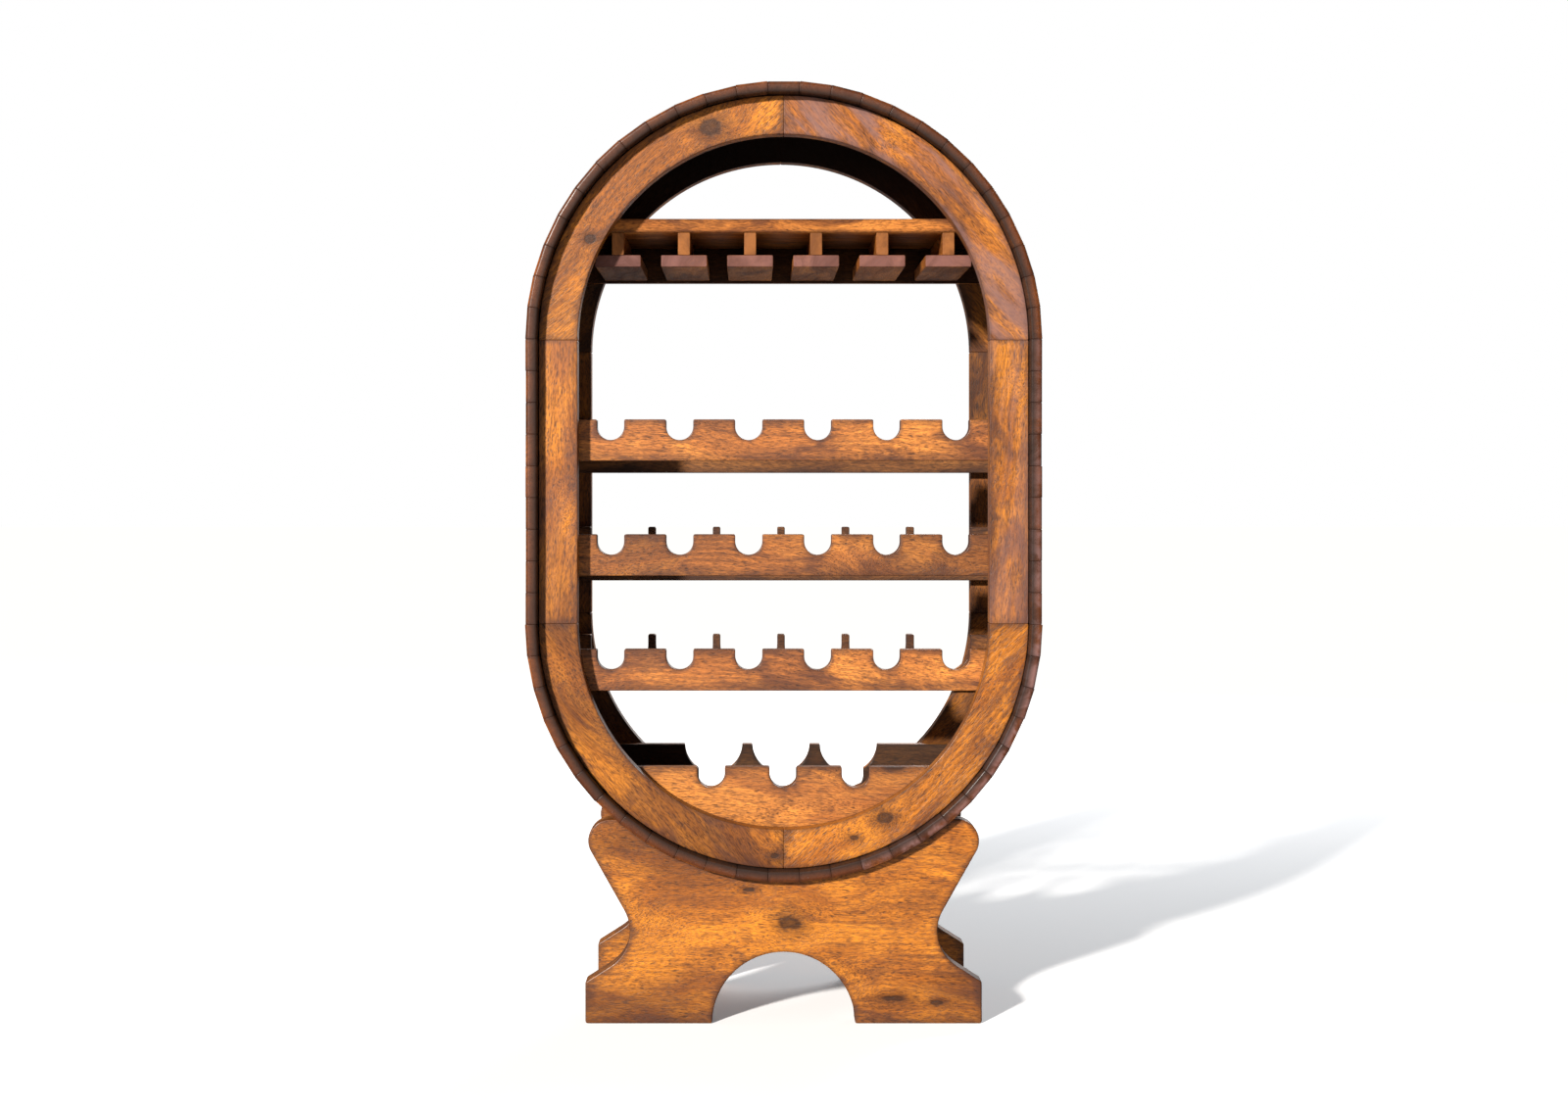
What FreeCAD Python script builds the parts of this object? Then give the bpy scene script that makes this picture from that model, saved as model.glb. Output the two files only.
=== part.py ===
import FreeCAD, Part

import math
import os
import re

import Sketcher

# Wine rack: an oval barrel of staves on two oval face rings, bottle rails and a glass rack inside,
# standing in the concave tops of two cradle boards. Millimetres, front towards -Y, +Z up,
# origin on the floor under the middle of the rack.

Vector = FreeCAD.Vector
Rotation = FreeCAD.Rotation
Placement = FreeCAD.Placement

DIMENSIONS = {
    # barrel
    "barrel_radius": 333,
    "barrel_depth": 330,
    "lower_centre": 518.5,
    "side_height": 367.8,
    "stave_thickness": 15,
    "stave_round": 5,
    "arc_staves": 25,
    "side_staves": 9,
    # face rings
    "ring_width": 50.7,
    "ring_thickness": 28,
    "ring_recess": 20,
    "ring_dowel_radius": 4,
    "ring_dowel_length": 40,
    "ring_dowel_spacing": 26,
    # bottle rails
    "rail_thickness": 22,
    "top_shelf_height": 784.3,
    "shelf_spacing": 150.6,
    "front_rail_height": 54,
    "rear_rail_height": 75,
    "rear_rail_rise": 6.5,
    "bottle_spacing": 90.4,
    "bottles_per_shelf": 6,
    "neck_notch_radius": 17.8,
    "neck_notch_depth": 27,
    "body_notch_radius": 40,
    "body_notch_depth": 54,
    # bottom row
    "bottom_row_height": 329.3,
    "bottom_board_height": 95,
    "bottom_spacing": 94.5,
    "bottom_bottles": 3,
    "shoulder_notch_radius": 40,
    "shoulder_notch_depth": 40,
    "throat_notch_radius": 21,
    "throat_notch_depth": 66,
    # glass rack
    "glass_board_bottom": 1030,
    "glass_board_thickness": 18,
    "glass_rack_setback": 11,
    "glass_rail_count": 6,
    "glass_rail_spacing": 86.8,
    "web_thickness": 16,
    "web_height": 29.6,
    "flange_width": 60.4,
    "flange_thickness": 15.4,
    "back_board_thickness": 15,
    "back_board_drop": 48,
    # cradle base
    "cradle_thickness": 35,
    "foot_half_width": 257,
    "foot_height": 54,
    "waist_half_width": 199.5,
    "waist_height": 120,
    "waist_radius": 53.5,
    "horn_half_width": 253.5,
    "horn_height": 264.8,
    "horn_radius": 28,
    "arch_radius": 92.7,
    "stretcher_offset": 120,
    "stretcher_width": 40,
    "stretcher_bottom": 150,
    "base_dowel_radius": 5,
    "base_dowel_length": 40,
    "base_dowel_spacing": 24,
    # screws
    "rail_screw_length": 42,
    "glass_screw_length": 40,
    "barrel_screw_length": 68,
    "screw_radius": 2.5,
    "screw_head_radius": 5,
    "screw_head_height": 3.5,
}

# Where the screws sit: up and down from a rail's middle line, round the ring's lower half in
# degrees, back from the glass rack's front, and each way from the rack's middle.
RAIL_SCREW_OFFSETS = (-14, 14)
BOTTOM_SCREW_ANGLES = (228, 245, 295, 312)
GLASS_SCREW_SETBACKS = (30, 105, 180)
BARREL_SCREW_PLACES = (-60, 60)

UPRIGHT = Rotation()
ALONG_X = Rotation(Vector(0, 1, 0), 90)
ALONG_Y = Rotation(Vector(1, 0, 0), 90)

doc = FreeCAD.newDocument("wine_rack")
sheet = doc.addObject("Spreadsheet::Sheet", "sizes")
for row, (alias, value) in enumerate(DIMENSIONS.items(), start=1):
    sheet.set(f"A{row}", alias)
    sheet.set(f"B{row}", str(value))
    sheet.setAlias(f"B{row}", alias)
doc.recompute()

nodes = []


def size(expression):
    """A cell of the sheet, or a sum of cells, as a number."""
    return float(sheet.evalExpression(expression))


def node(item, label):
    """Keep an object as one sub-part of the rack."""
    item.Label = label
    nodes.append(item)
    return item


def spread(count, spacing):
    """Places along a line, centred on zero."""
    return [(step - (count - 1) / 2) * spacing for step in range(count)]


# ---------------------------------------------------------------- derived places

lower_centre = size("lower_centre")
upper_centre = size("lower_centre + side_height")
inner_radius = size("barrel_radius - stave_thickness")
ring_middle = inner_radius - size("ring_width") / 2
ring_front = size("ring_recess - barrel_depth / 2")
ring_back = ring_front + size("ring_thickness")
rail_back = ring_back + size("rail_thickness")
glass_front = ring_back + size("glass_rack_setback")
glass_back = -ring_back - size("back_board_thickness")
cradle_back = ring_front + size("cradle_thickness")
web_places = spread(int(size("glass_rail_count")), size("glass_rail_spacing"))


# ---------------------------------------------------------------- sketches and features


def new_sketch(body, role, lift=0):
    """A sketch on one of the body's own origin planes, or lifted off it."""
    plane = next(item for item in body.Origin.OriginFeatures if item.Role == role)
    sketch = body.newObject("Sketcher::SketchObject", "sketch")
    sketch.AttachmentSupport = (plane, [""])
    sketch.MapMode = "FlatFace"
    sketch.AttachmentOffset = Placement(Vector(0, 0, lift), UPRIGHT)
    return sketch


def constrain(sketch, kind, *geometry):
    sketch.addConstraint(Sketcher.Constraint(kind, *geometry))


def bind(sketch, kind, geometry, name, expression):
    """A dimension of the sketch that follows the sheet."""
    index = sketch.addConstraint(Sketcher.Constraint(kind, *geometry, size(expression)))
    sketch.renameConstraint(index, name)
    sketch.setExpression(f"Constraints.{name}", in_sheet(expression))


def in_sheet(expression):
    """The same expression, with each alias looked up in the sheet."""
    return re.sub(r"[a-z]\w*", lambda word: f"sizes.{word[0]}", expression)


def line(sketch, start, end):
    return sketch.addGeometry(Part.LineSegment(Vector(*start), Vector(*end)))


def arc(sketch, centre, radius, start, end):
    """An arc, anticlockwise between two angles in degrees."""
    circle = Part.Circle(Vector(*centre), Vector(0, 0, 1), radius)
    return sketch.addGeometry(Part.ArcOfCircle(circle, math.radians(start), math.radians(end)))


def pad(body, sketch, thickness):
    """Thicken a front-view sketch towards the back of the rack."""
    feature = body.newObject("PartDesign::Pad", "pad")
    feature.Profile = sketch
    feature.Reversed = True
    feature.setExpression("Length", in_sheet(thickness))
    return feature


def board(name, left, right, bottom, top, thickness, y):
    """A board seen from the front as a rectangle, its front face at y."""
    body = doc.addObject("PartDesign::Body", name)
    sketch = new_sketch(body, "XZ_Plane")
    corners = [(size(left), size(bottom)), (size(right), size(bottom)),
               (size(right), size(top)), (size(left), size(top))]
    sides = [line(sketch, *pair) for pair in zip(corners, corners[1:] + corners[:1])]
    for side, following in zip(sides, sides[1:] + sides[:1]):
        constrain(sketch, "Coincident", side, 2, following, 1)
    for side in (0, 2):
        constrain(sketch, "Horizontal", sides[side])
        constrain(sketch, "Vertical", sides[side + 1])
    bind(sketch, "DistanceX", (-1, 1, 0, 1), "left", left)
    bind(sketch, "DistanceX", (-1, 1, 0, 2), "right", right)
    bind(sketch, "DistanceY", (-1, 1, 0, 1), "bottom", bottom)
    bind(sketch, "DistanceY", (-1, 1, 2, 1), "top", top)
    pad(body, sketch, thickness)
    body.Placement = Placement(Vector(0, y, 0), UPRIGHT)
    return body


def cut_notches(body, kind, count, spacing, top):
    """A row of round-bottomed notches in the top edge, patterned along the board."""
    radius = size(f"{kind}_notch_radius")
    first = size(f"({count} - 1) / 2 * {spacing}")
    centre = size(f"{top} - {kind}_notch_depth + {kind}_notch_radius")
    mouth = size(f"{top} + {kind}_notch_radius")
    sketch = new_sketch(body, "XZ_Plane")
    line(sketch, (-first - radius, centre), (-first - radius, mouth))
    line(sketch, (-first - radius, mouth), (-first + radius, mouth))
    line(sketch, (-first + radius, mouth), (-first + radius, centre))
    arc(sketch, (-first, centre), radius, 180, 360)
    constrain(sketch, "Coincident", 0, 2, 1, 1)
    constrain(sketch, "Coincident", 1, 2, 2, 1)
    constrain(sketch, "Tangent", 3, 1, 0, 1)
    constrain(sketch, "Tangent", 3, 2, 2, 2)
    constrain(sketch, "Vertical", 0)
    constrain(sketch, "Horizontal", 1)
    constrain(sketch, "Vertical", 2)
    bind(sketch, "Radius", (3,), "radius", f"{kind}_notch_radius")
    bind(sketch, "DistanceX", (3, 3, -1, 1), "first", f"({count} - 1) / 2 * {spacing}")
    bind(sketch, "DistanceY", (-1, 1, 3, 3), "centre", f"{top} - {kind}_notch_depth + {kind}_notch_radius")
    bind(sketch, "DistanceY", (-1, 1, 1, 1), "mouth", f"{top} + {kind}_notch_radius")
    notch = body.newObject("PartDesign::Pocket", "notch")
    notch.Profile = sketch
    notch.Type = "ThroughAll"
    notch.SideType = "Symmetric"
    pattern = body.newObject("PartDesign::LinearPattern", "row")
    pattern.Originals = [notch]
    pattern.Direction = (sketch, ["H_Axis"])
    pattern.setExpression("Length", in_sheet(f"({count} - 1) * {spacing}"))
    pattern.setExpression("Occurrences", in_sheet(count))
    body.Tip = pattern
    return body


def dowel_holes(body, role, centres, lift=0, into_plus=True):
    """Blind holes for half the length of the ring dowels, in an end face of a ring segment."""
    sketch = new_sketch(body, role, lift)
    for number, centre in enumerate(centres):
        sketch.addGeometry(Part.Circle(Vector(*centre), Vector(0, 0, 1), size("ring_dowel_radius")))
        bind(sketch, "Radius", (number,), f"radius_{number}", "ring_dowel_radius")
    holes = body.newObject("PartDesign::Pocket", "dowel_holes")
    holes.Profile = sketch
    holes.Reversed = into_plus
    holes.setExpression("Length", in_sheet("ring_dowel_length / 2"))


# ---------------------------------------------------------------- barrel solids to trim against


def barrel_cylinder(name, radius, height):
    """A solid cylinder through the barrel from front to back."""
    cylinder = doc.addObject("Part::Cylinder", name)
    cylinder.setExpression("Radius", in_sheet(radius))
    cylinder.setExpression("Height", in_sheet("barrel_depth"))
    cylinder.Placement = Placement(Vector(0, size("barrel_depth / 2"), height), ALONG_Y)
    return cylinder


def barrel_inside():
    """The space inside the staves, as a solid."""
    middle = doc.addObject("Part::Box", "inside_middle")
    middle.setExpression("Length", in_sheet("2 * (barrel_radius - stave_thickness)"))
    middle.setExpression("Width", in_sheet("barrel_depth"))
    middle.setExpression("Height", in_sheet("side_height"))
    middle.Placement = Placement(Vector(-inner_radius, size("-barrel_depth / 2"), lower_centre), UPRIGHT)
    inside = doc.addObject("Part::MultiFuse", "barrel_inside")
    radius = "barrel_radius - stave_thickness"
    inside.Shapes = [middle, barrel_cylinder("inside_lower", radius, lower_centre),
                     barrel_cylinder("inside_upper", radius, upper_centre)]
    inside.Refine = True
    return inside


def combined(kind, name, base, tool):
    """A boolean of two objects."""
    result = doc.addObject(kind, name)
    result.Base = base
    result.Tool = tool
    return result


def drilled(item, label, *fasteners):
    """A node with the holes for its screws and dowels cut out."""
    for fastener in fasteners:
        item = combined("Part::Cut", f"{label}_drilled", item, fastener)
    return node(item, label)


# ---------------------------------------------------------------- fasteners


def cluster(name, master, placements):
    """Separate copies of one solid, held together as one object."""
    pieces = []
    for placement in placements:
        piece = master.copy()
        piece.Placement = placement
        pieces.append(piece)
    item = doc.addObject("Part::Feature", name)
    item.Shape = Part.makeCompound(pieces)
    return item


def group(label, master, placements):
    """Separate copies of one solid that share a node."""
    return node(cluster(f"{label}_pieces", master, placements), label)


def dowel(radius, length):
    """A round pin along Z, centred on the origin."""
    return Part.makeCylinder(radius, length, Vector(0, 0, -length / 2))


def screw(length):
    """A countersunk wood screw, its head face at the origin and its point towards +Z."""
    shank = size("screw_radius")
    outline = [Vector(0, 0, 0), Vector(size("screw_head_radius"), 0, 0),
               Vector(shank, 0, size("screw_head_height")), Vector(shank, 0, length - 2 * shank),
               Vector(0, 0, length), Vector(0, 0, 0)]
    return Part.Face(Part.makePolygon(outline)).revolve(Vector(0, 0, 0), Vector(0, 0, 1), 360)


def ring_dowels():
    """Two dowels across each of the six joints of each face ring."""
    places = []
    for y in (ring_front + size("ring_thickness / 2"), -ring_front - size("ring_thickness / 2")):
        for radius in (ring_middle + shift for shift in spread(2, size("ring_dowel_spacing"))):
            places += [Placement(Vector(side * radius, y, height), UPRIGHT)
                       for side in (-1, 1) for height in (lower_centre, upper_centre)]
            places += [Placement(Vector(0, y, upper_centre + radius), ALONG_X),
                       Placement(Vector(0, y, lower_centre - radius), ALONG_X)]
    master = dowel(size("ring_dowel_radius"), size("ring_dowel_length"))
    return group("ring_dowels", master, places)


def rail_screws():
    """Screws from the inside through the rails and the bottom boards into the face rings."""
    places = []
    for end, rise, rail_height in ((-1, 0, size("front_rail_height")),
                                   (1, size("rear_rail_rise"), size("rear_rail_height"))):
        head_y = -end * rail_back
        turn = Rotation(Vector(1, 0, 0), -90 * end)
        for shelf in range(3):
            middle = size(f"top_shelf_height - {shelf} * shelf_spacing") + rise - rail_height / 2
            for height in (middle + offset for offset in RAIL_SCREW_OFFSETS):
                drop = min(0, height - lower_centre)
                reach = math.sqrt(ring_middle ** 2 - drop ** 2)
                places += [Placement(Vector(x, head_y, height), turn) for x in (-reach, reach)]
        for angle in (math.radians(degrees) for degrees in BOTTOM_SCREW_ANGLES):
            height = lower_centre + ring_middle * math.sin(angle)
            places.append(Placement(Vector(ring_middle * math.cos(angle), head_y, height), turn))
    return group("rail_screws", screw(size("rail_screw_length")), places)


def glass_screws():
    """Screws down through the top board of the glass rack into the webs."""
    top = size("glass_board_bottom + glass_board_thickness")
    down = Rotation(Vector(1, 0, 0), 180)
    places = [Placement(Vector(x, glass_front + setback, top), down)
              for x in web_places for setback in GLASS_SCREW_SETBACKS]
    return group("glass_rack_screws", screw(size("glass_screw_length")), places)


def base_dowels():
    """Two dowels at each end of each stretcher, into the cradle boards."""
    height = size("stretcher_bottom + stretcher_width / 2")
    places = [Placement(Vector(x + shift, y, height), ALONG_Y)
              for x in (-size("stretcher_offset"), size("stretcher_offset"))
              for shift in spread(2, size("base_dowel_spacing"))
              for y in (-cradle_back, cradle_back)]
    return group("base_dowels", dowel(size("base_dowel_radius"), size("base_dowel_length")), places)


def barrel_screws():
    """Screws up through the stretchers into the bottom staves."""
    places = [Placement(Vector(x, y, size("stretcher_bottom")), UPRIGHT)
              for x in (-size("stretcher_offset"), size("stretcher_offset"))
              for y in BARREL_SCREW_PLACES]
    return group("barrel_screws", screw(size("barrel_screw_length")), places)


# ---------------------------------------------------------------- barrel


def ring_quarter(name):
    """A quarter of a face ring: arc centre at the origin, from +X round to +Z."""
    outer = inner_radius
    inner = inner_radius - size("ring_width")
    body = doc.addObject("PartDesign::Body", name)
    sketch = new_sketch(body, "XZ_Plane")
    arc(sketch, (0, 0), outer, 0, 90)
    arc(sketch, (0, 0), inner, 0, 90)
    line(sketch, (inner, 0), (outer, 0))
    line(sketch, (0, inner), (0, outer))
    for curve in (0, 1):
        constrain(sketch, "Coincident", curve, 3, -1, 1)
        constrain(sketch, "PointOnObject", curve, 1, -1)
        constrain(sketch, "PointOnObject", curve, 2, -2)
        constrain(sketch, "Coincident", 2, 2 - curve, curve, 1)
        constrain(sketch, "Coincident", 3, 2 - curve, curve, 2)
    bind(sketch, "Radius", (0,), "outer", "barrel_radius - stave_thickness")
    bind(sketch, "Radius", (1,), "inner", "barrel_radius - stave_thickness - ring_width")
    pad(body, sketch, "ring_thickness")
    middle = size("ring_thickness / 2")
    radii = [ring_middle + shift for shift in spread(2, size("ring_dowel_spacing"))]
    dowel_holes(body, "XY_Plane", [(radius, middle) for radius in radii])
    dowel_holes(body, "YZ_Plane", [(middle, radius) for radius in radii])
    return body


def ring_stile(name):
    """A straight side of a face ring, its foot at the origin."""
    body = board(name, "-ring_width / 2", "ring_width / 2", "0 * side_height", "side_height",
                 "ring_thickness", 0)
    centres = [(shift, size("ring_thickness / 2")) for shift in spread(2, size("ring_dowel_spacing"))]
    dowel_holes(body, "XY_Plane", centres)
    dowel_holes(body, "XY_Plane", centres, lift=size("side_height"), into_plus=False)
    return body


def face_ring(end, y, screws):
    """Four quarters and two stiles, their front face at y."""
    quarters = {"upper_right": (upper_centre, 0), "upper_left": (upper_centre, -90),
                "lower_left": (lower_centre, 180), "lower_right": (lower_centre, 90)}
    for place, (height, turn) in quarters.items():
        body = ring_quarter(f"{end}_{place}_blank")
        body.Placement = Placement(Vector(0, y, height), Rotation(Vector(0, 1, 0), turn))
        if height == lower_centre:
            drilled(body, f"{end}_ring_{place}", screws)
        else:
            node(body, f"{end}_ring_{place}")
    for side, place in ((-1, "left"), (1, "right")):
        body = ring_stile(f"{end}_{place}_blank")
        body.Placement = Placement(Vector(side * ring_middle, y, lower_centre), UPRIGHT)
        drilled(body, f"{end}_ring_{place}_stile", screws)


def rounded_ends(shape, on_outside):
    """Round the outer edges of a stave where they show at the two lips of the barrel."""
    lip = size("barrel_depth / 2")
    edges = [edge for edge in shape.Edges
             if abs(abs(edge.CenterOfMass.y) - lip) < 1e-6 and on_outside(edge)]
    return shape.makeFillet(size("stave_round"), edges)


def arc_stave():
    """A stave of the round parts: arc centre at the origin, the stave at the top."""
    outer = size("barrel_radius")
    half = 90 / size("arc_staves")
    ends = (90 - half, 90 + half)
    depth = Vector(0, size("barrel_depth"), 0)
    start = Vector(0, size("-barrel_depth / 2"), 0)
    curves = [Part.makeCircle(radius, start, Vector(0, -1, 0), *ends) for radius in (outer, inner_radius)]
    sides = [Part.makeLine(curves[0].Vertexes[end].Point, curves[1].Vertexes[end].Point) for end in (0, 1)]
    outline = Part.Wire(Part.__sortEdges__(curves + sides))
    shape = Part.Face(outline).extrude(depth)
    middle_radius = (outer + inner_radius) / 2
    return rounded_ends(shape, lambda edge: edge.CenterOfMass.z > middle_radius
                        and abs(edge.CenterOfMass.x) < 1e-6)


def side_stave():
    """A stave of the straight sides: on the +X side, its lower edge at the origin's height."""
    width = size("side_height / side_staves")
    corner = Vector(inner_radius, size("-barrel_depth / 2"), 0)
    shape = Part.makeBox(size("stave_thickness"), size("barrel_depth"), width, corner)
    return rounded_ends(shape, lambda edge: edge.CenterOfMass.x > size("barrel_radius") - 1e-6)


def staves(screws):
    """All staves, glued edge to edge, in short runs that share a node."""
    step = 180 / size("arc_staves")
    per_run = 5
    curved = arc_stave()
    for name, centre, first in (("top", upper_centre, 180), ("bottom", lower_centre, 180)):
        turn_way = -1 if name == "top" else 1
        for run in range(int(size("arc_staves")) // per_run):
            angles = [first + turn_way * step * (run * per_run + one + 0.5) for one in range(per_run)]
            places = [Placement(Vector(0, 0, centre), Rotation(Vector(0, 1, 0), 90 - angle))
                      for angle in angles]
            run_name = f"{name}_staves_{run + 1}"
            if name == "bottom" and run in (1, 3):
                drilled(cluster(f"{run_name}_blank", curved, places), run_name, screws)
            else:
                group(run_name, curved, places)
    straight = side_stave()
    width = size("side_height / side_staves")
    for name, turn in (("left", 180), ("right", 0)):
        for run in range(3):
            places = [Placement(Vector(0, 0, lower_centre + (run * 3 + one) * width),
                                Rotation(Vector(0, 0, 1), turn)) for one in range(3)]
            group(f"{name}_staves_{run + 1}", straight, places)


# ---------------------------------------------------------------- rails and boards inside

INSIDE_LEFT = "stave_thickness - barrel_radius"
INSIDE_RIGHT = "barrel_radius - stave_thickness"


def bottle_rails(inside, screws):
    """Three shelves, each a front rail for the necks and a taller rear rail for the bodies."""
    for shelf, place in enumerate(("upper", "middle", "lower")):
        for end, kind, rise, y in (("front", "neck", "0", ring_back),
                                   ("rear", "body", "rear_rail_rise", -rail_back)):
            top = f"top_shelf_height - {shelf} * shelf_spacing + {rise}"
            label = f"{end}_rail_{place}"
            rail = board(f"{label}_blank", INSIDE_LEFT, INSIDE_RIGHT, f"{top} - {end}_rail_height", top,
                         "rail_thickness", y)
            cut_notches(rail, kind, "bottles_per_shelf", "bottle_spacing", top)
            drilled(combined("Part::Common", f"{label}_trimmed", rail, inside), label, screws)


def bottom_boards(inside, screws):
    """The bottom row: a front and a rear board trimmed to the curve of the barrel.

    Each notch of the rear board is wide for a bottle's body, with a narrower throat below it.
    """
    for end, kinds, rise, y in (("front", ("neck",), "0", ring_back),
                                ("rear", ("shoulder", "throat"), "rear_rail_rise", -rail_back)):
        top = f"bottom_row_height + {rise}"
        label = f"bottom_{end}_board"
        blank = board(f"{label}_blank", INSIDE_LEFT, INSIDE_RIGHT, f"{top} - bottom_board_height", top,
                      "rail_thickness", y)
        for kind in kinds:
            cut_notches(blank, kind, "bottom_bottles", "bottom_spacing", top)
        drilled(combined("Part::Common", f"{label}_trimmed", blank, inside), label, screws)


def glass_rack(inside, screws):
    """A top board with six T rails hanging from it, closed at the back."""
    low = "glass_board_bottom"
    depth = "barrel_depth - 2 * ring_recess - 2 * ring_thickness - glass_rack_setback"
    top_board = board("glass_board_blank", INSIDE_LEFT, INSIDE_RIGHT, low,
                      f"{low} + glass_board_thickness", depth, glass_front)
    drilled(combined("Part::Common", "glass_board_trimmed", top_board, inside), "glass_rack_board", screws)
    back = board("glass_back_blank", INSIDE_LEFT, INSIDE_RIGHT, f"{low} - back_board_drop", low,
                 "back_board_thickness", glass_back)
    node(combined("Part::Common", "glass_back_trimmed", back, inside), "glass_rack_back")
    rail_length = f"{depth} - back_board_thickness"
    web_foot = f"{low} - web_height"
    for number in range(int(size("glass_rail_count"))):
        middle = f"({number} - (glass_rail_count - 1) / 2) * glass_rail_spacing"
        web = board(f"web_{number + 1}_blank", f"{middle} - web_thickness / 2",
                    f"{middle} + web_thickness / 2", web_foot, low, rail_length, glass_front)
        drilled(web, f"glass_rack_web_{number + 1}", screws)
        flange = board(f"flange_{number + 1}", f"{middle} - flange_width / 2",
                       f"{middle} + flange_width / 2", f"{web_foot} - flange_thickness", web_foot,
                       rail_length, glass_front)
        node(flange, f"glass_rack_flange_{number + 1}")


# ---------------------------------------------------------------- base


def crossing_tangent(centre_a, radius_a, centre_b, radius_b):
    """Where the line that passes between two circles touches each of them."""
    run_x = centre_b[0] - centre_a[0]
    run_y = centre_b[1] - centre_a[1]
    distance = math.hypot(run_x, run_y)
    heading = math.atan2(run_y, run_x)
    normal = heading + math.acos((radius_a + radius_b) / distance)
    touch_a = (centre_a[0] + radius_a * math.cos(normal), centre_a[1] + radius_a * math.sin(normal))
    touch_b = (centre_b[0] - radius_b * math.cos(normal), centre_b[1] - radius_b * math.sin(normal))
    return touch_a, touch_b


def angle_from(centre, point):
    return math.degrees(math.atan2(point[1] - centre[1], point[0] - centre[0])) % 360


def cradle_board(label, y, dowels):
    """One board of the base: horns and a concave top above a narrow waist, an arch between two feet."""
    radius = size("barrel_radius")
    arch = size("arch_radius")
    foot = (size("foot_half_width"), size("foot_height"))
    waist = (size("waist_half_width + waist_radius"), size("waist_height"))
    horn = (size("horn_half_width - horn_radius"), size("horn_height - horn_radius"))
    horn_touch, waist_touch = crossing_tangent(horn, size("horn_radius"), waist, size("waist_radius"))
    _, slope_touch = crossing_tangent(foot, 0, waist, -size("waist_radius"))
    drop = lower_centre - size("horn_height")
    cradle_end = (math.sqrt(radius ** 2 - drop ** 2), size("horn_height"))
    bottom = (0, lower_centre - radius)

    body = doc.addObject("PartDesign::Body", f"{label}_blank")
    sketch = new_sketch(body, "XZ_Plane")
    arc(sketch, (0, 0), arch, 0, 90)
    line(sketch, (arch, 0), (foot[0], 0))
    line(sketch, (foot[0], 0), foot)
    line(sketch, foot, slope_touch)
    arc(sketch, waist, size("waist_radius"), angle_from(waist, waist_touch), angle_from(waist, slope_touch))
    line(sketch, waist_touch, horn_touch)
    arc(sketch, horn, size("horn_radius"), angle_from(horn, horn_touch) - 360, 90)
    line(sketch, (horn[0], size("horn_height")), cradle_end)
    arc(sketch, (0, lower_centre), radius, 270, angle_from((0, lower_centre), cradle_end))
    line(sketch, bottom, (0, arch))

    constrain(sketch, "Coincident", 0, 1, 1, 1)
    constrain(sketch, "Coincident", 1, 2, 2, 1)
    constrain(sketch, "Coincident", 2, 2, 3, 1)
    constrain(sketch, "Tangent", 3, 2, 4, 2)
    constrain(sketch, "Tangent", 4, 1, 5, 1)
    constrain(sketch, "Tangent", 5, 2, 6, 1)
    constrain(sketch, "Tangent", 6, 2, 7, 1)
    constrain(sketch, "Coincident", 7, 2, 8, 2)
    constrain(sketch, "Coincident", 8, 1, 9, 1)
    constrain(sketch, "Coincident", 9, 2, 0, 2)
    constrain(sketch, "Horizontal", 1)
    constrain(sketch, "Vertical", 2)
    constrain(sketch, "Horizontal", 7)
    constrain(sketch, "Vertical", 9)
    constrain(sketch, "Coincident", 0, 3, -1, 1)
    constrain(sketch, "PointOnObject", 0, 1, -1)
    constrain(sketch, "PointOnObject", 0, 2, -2)
    constrain(sketch, "PointOnObject", 8, 3, -2)
    bind(sketch, "Radius", (0,), "arch_size", "arch_radius")
    bind(sketch, "DistanceX", (-1, 1, 2, 2), "foot_side", "foot_half_width")
    bind(sketch, "DistanceY", (-1, 1, 2, 2), "foot_top", "foot_height")
    bind(sketch, "Radius", (4,), "waist_size", "waist_radius")
    bind(sketch, "DistanceX", (-1, 1, 4, 3), "waist_side", "waist_half_width + waist_radius")
    bind(sketch, "DistanceY", (-1, 1, 4, 3), "waist_level", "waist_height")
    bind(sketch, "Radius", (6,), "horn_size", "horn_radius")
    bind(sketch, "DistanceX", (-1, 1, 6, 3), "horn_side", "horn_half_width - horn_radius")
    bind(sketch, "DistanceY", (-1, 1, 6, 3), "horn_level", "horn_height - horn_radius")
    bind(sketch, "Radius", (8,), "cradle_size", "barrel_radius")
    bind(sketch, "DistanceY", (-1, 1, 8, 3), "cradle_level", "lower_centre")

    half = pad(body, sketch, "cradle_thickness")
    mirror = body.newObject("PartDesign::Mirrored", "whole")
    mirror.Originals = [half]
    mirror.MirrorPlane = (sketch, ["V_Axis"])
    body.Tip = mirror
    body.Placement = Placement(Vector(0, y, 0), UPRIGHT)
    drilled(body, label, dowels)


def stretchers(dowels, screws):
    """Two bars between the cradle boards, coved on top where the barrel rests on them."""
    barrel = barrel_cylinder("barrel_outside", "barrel_radius", lower_centre)
    length = "barrel_depth - 2 * ring_recess - 2 * cradle_thickness"
    for side, place in (("-1", "left"), ("1", "right")):
        middle = f"{side} * stretcher_offset"
        blank = board(f"{place}_stretcher_blank", f"{middle} - stretcher_width / 2",
                      f"{middle} + stretcher_width / 2", "stretcher_bottom",
                      "stretcher_bottom + 2 * stretcher_width", length, cradle_back)
        coved = combined("Part::Cut", f"{place}_stretcher_coved", blank, barrel)
        drilled(coved, f"{place}_stretcher", dowels, screws)


# ---------------------------------------------------------------- assembly


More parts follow.
